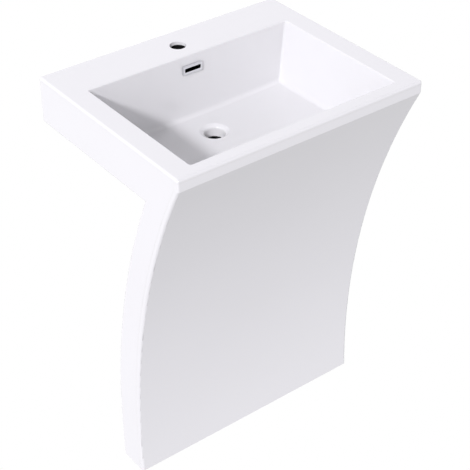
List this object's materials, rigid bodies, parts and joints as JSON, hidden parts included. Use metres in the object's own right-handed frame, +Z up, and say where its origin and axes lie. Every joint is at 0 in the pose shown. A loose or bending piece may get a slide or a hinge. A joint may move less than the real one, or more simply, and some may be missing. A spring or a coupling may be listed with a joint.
{
  "type": "pedestal sink",
  "caption": "Free-standing gloss white washbasin: deep rectangular bowl in a thick deck on a full-width hollow stem that sweeps back to the floor.",
  "frame": {"origin": "on the floor, under the middle of the deck", "axes": "+Z up, +Y towards the wall, +X to the right as seen from the front"},
  "size_m": [0.6, 0.48, 0.865],
  "materials": {
    "composite": "gloss",
    "chrome": "polished",
    "board": "matte",
    "duct": "satin",
    "rubber": "matte",
    "steel": "satin",
    "brass": "satin",
    "pad": "matte"
  },
  "bodies": {
    "sink": {"basin": "composite", "front_panel": "composite", "side_panel_left": "composite", "side_panel_right": "composite", "back_apron": "composite", "deck_cleat_left": "composite", "deck_cleat_right": "composite", "stem_rib_lower": "composite", "stem_rib_middle": "composite", "stem_rib_upper": "composite", "base_board": "composite", "tap_ledge_board": "board", "overflow_trim": "chrome", "overflow_gasket": "rubber", "overflow_channel": "duct", "overflow_collar": "duct", "wall_bracket_left": "steel", "wall_bracket_right": "steel", "bracket_screws": "steel", "threaded_insert_left": "brass", "lock_nut_left": "steel", "threaded_insert_right": "brass", "lock_nut_right": "steel"},
    "pad_left": {"foot_pad_left": "pad"},
    "stud_left": {"levelling_stud_left": "steel"},
    "pad_right": {"foot_pad_right": "pad"},
    "stud_right": {"levelling_stud_right": "steel"}
  },
  "joints": [
    {"name": "foot_travel_left", "type": "slide", "parent": "sink", "child": "pad_left", "axis": [0, 0, -1], "range_m": [0, 0.012]},
    {"name": "foot_turn_left", "type": "hinge", "parent": "pad_left", "child": "stud_left", "pos_m": [-0.24, -0.025, 0.05], "axis": [0, 0, -1], "range_deg": [0, 2880]},
    {"name": "foot_travel_right", "type": "slide", "parent": "sink", "child": "pad_right", "axis": [0, 0, -1], "range_m": [0, 0.012]},
    {"name": "foot_turn_right", "type": "hinge", "parent": "pad_right", "child": "stud_right", "pos_m": [0.24, -0.025, 0.05], "axis": [0, 0, -1], "range_deg": [0, 2880]}
  ],
  "couplings": [
    {"joint": "foot_turn_left", "follows": "foot_travel_left", "rad_per_m": 4188.8},
    {"joint": "foot_turn_right", "follows": "foot_travel_right", "rad_per_m": 4188.8}
  ]
}
